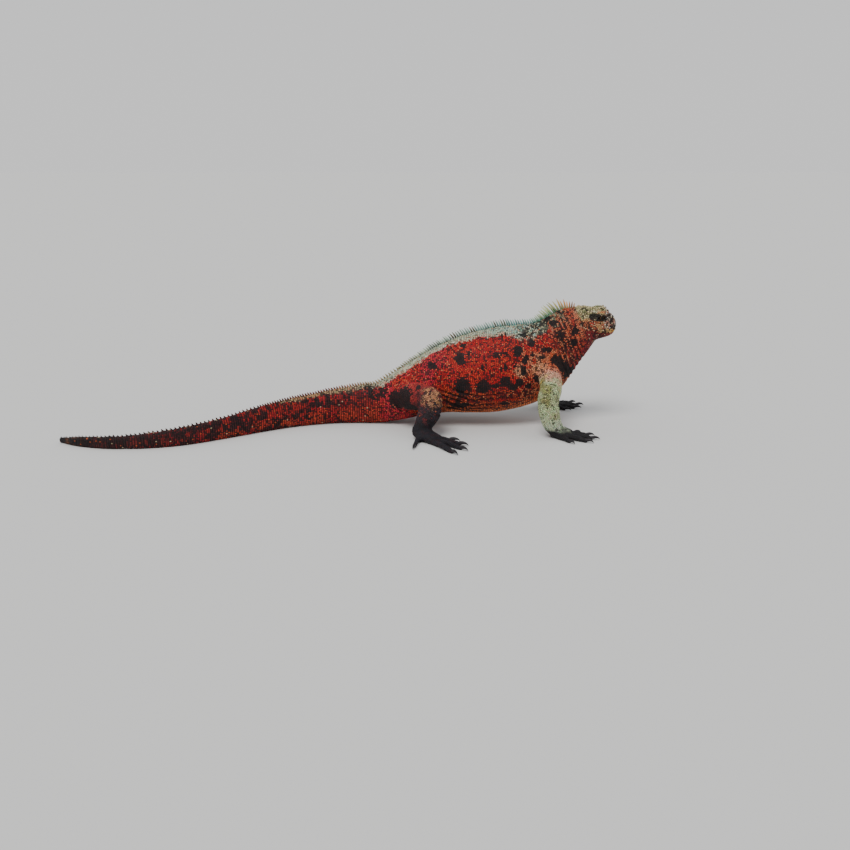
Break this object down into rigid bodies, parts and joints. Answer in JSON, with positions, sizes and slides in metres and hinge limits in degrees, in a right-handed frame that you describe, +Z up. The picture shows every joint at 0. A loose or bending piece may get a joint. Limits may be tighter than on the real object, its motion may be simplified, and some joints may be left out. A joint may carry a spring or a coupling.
{
  "type": "marine iguana",
  "caption": "Life-size marine iguana standing on four feet with its head raised, crest spines up and its long flattened tail laid behind it.",
  "frame": {"origin": "the middle of the footprint's bounding box, on the ground", "axes": "+X towards the head, +Y to the animal's left, +Z up"},
  "size_m": [0.7998, 0.362, 0.1881],
  "materials": {
    "flank_skin": "dry scaly skin, red with black blotches and a grey-green back",
    "head_skin": "dry skin under cone scales, khaki and cream",
    "neck_skin": "dry folded skin, dark red with black patches",
    "tail_skin": "dry keeled scales in rings, brick red to black",
    "arm_skin": "dry scaly skin, pale green",
    "leg_skin": "dry scaly skin, black with a violet cast",
    "claw_horn": "smooth dark horn",
    "eye_ball": "wet, dark brown iris and round pupil"
  },
  "bodies": {
    "root": {"head": "head_skin", "neck": "neck_skin", "torso": "flank_skin", "tail_base": "tail_skin", "tail_middle": "tail_skin", "tail_end": "tail_skin", "tail_tip": "tail_skin", "upper_arm_right": "arm_skin", "forearm_right": "arm_skin", "forefoot_right": "leg_skin", "thigh_right": "leg_skin", "shank_right": "leg_skin", "hindfoot_right": "leg_skin", "eye_right": "eye_ball", "claw_fore_right_1": "claw_horn", "claw_fore_right_2": "claw_horn", "claw_fore_right_3": "claw_horn", "claw_fore_right_4": "claw_horn", "claw_fore_right_5": "claw_horn", "claw_hind_right_1": "claw_horn", "claw_hind_right_2": "claw_horn", "claw_hind_right_3": "claw_horn", "claw_hind_right_4": "claw_horn", "claw_hind_right_5": "claw_horn", "upper_arm_left": "arm_skin", "forearm_left": "arm_skin", "forefoot_left": "leg_skin", "thigh_left": "leg_skin", "shank_left": "leg_skin", "hindfoot_left": "leg_skin", "eye_left": "eye_ball", "claw_fore_left_1": "claw_horn", "claw_fore_left_2": "claw_horn", "claw_fore_left_3": "claw_horn", "claw_fore_left_4": "claw_horn", "claw_fore_left_5": "claw_horn", "claw_hind_left_1": "claw_horn", "claw_hind_left_2": "claw_horn", "claw_hind_left_3": "claw_horn", "claw_hind_left_4": "claw_horn", "claw_hind_left_5": "claw_horn"}
  },
  "joints": []
}
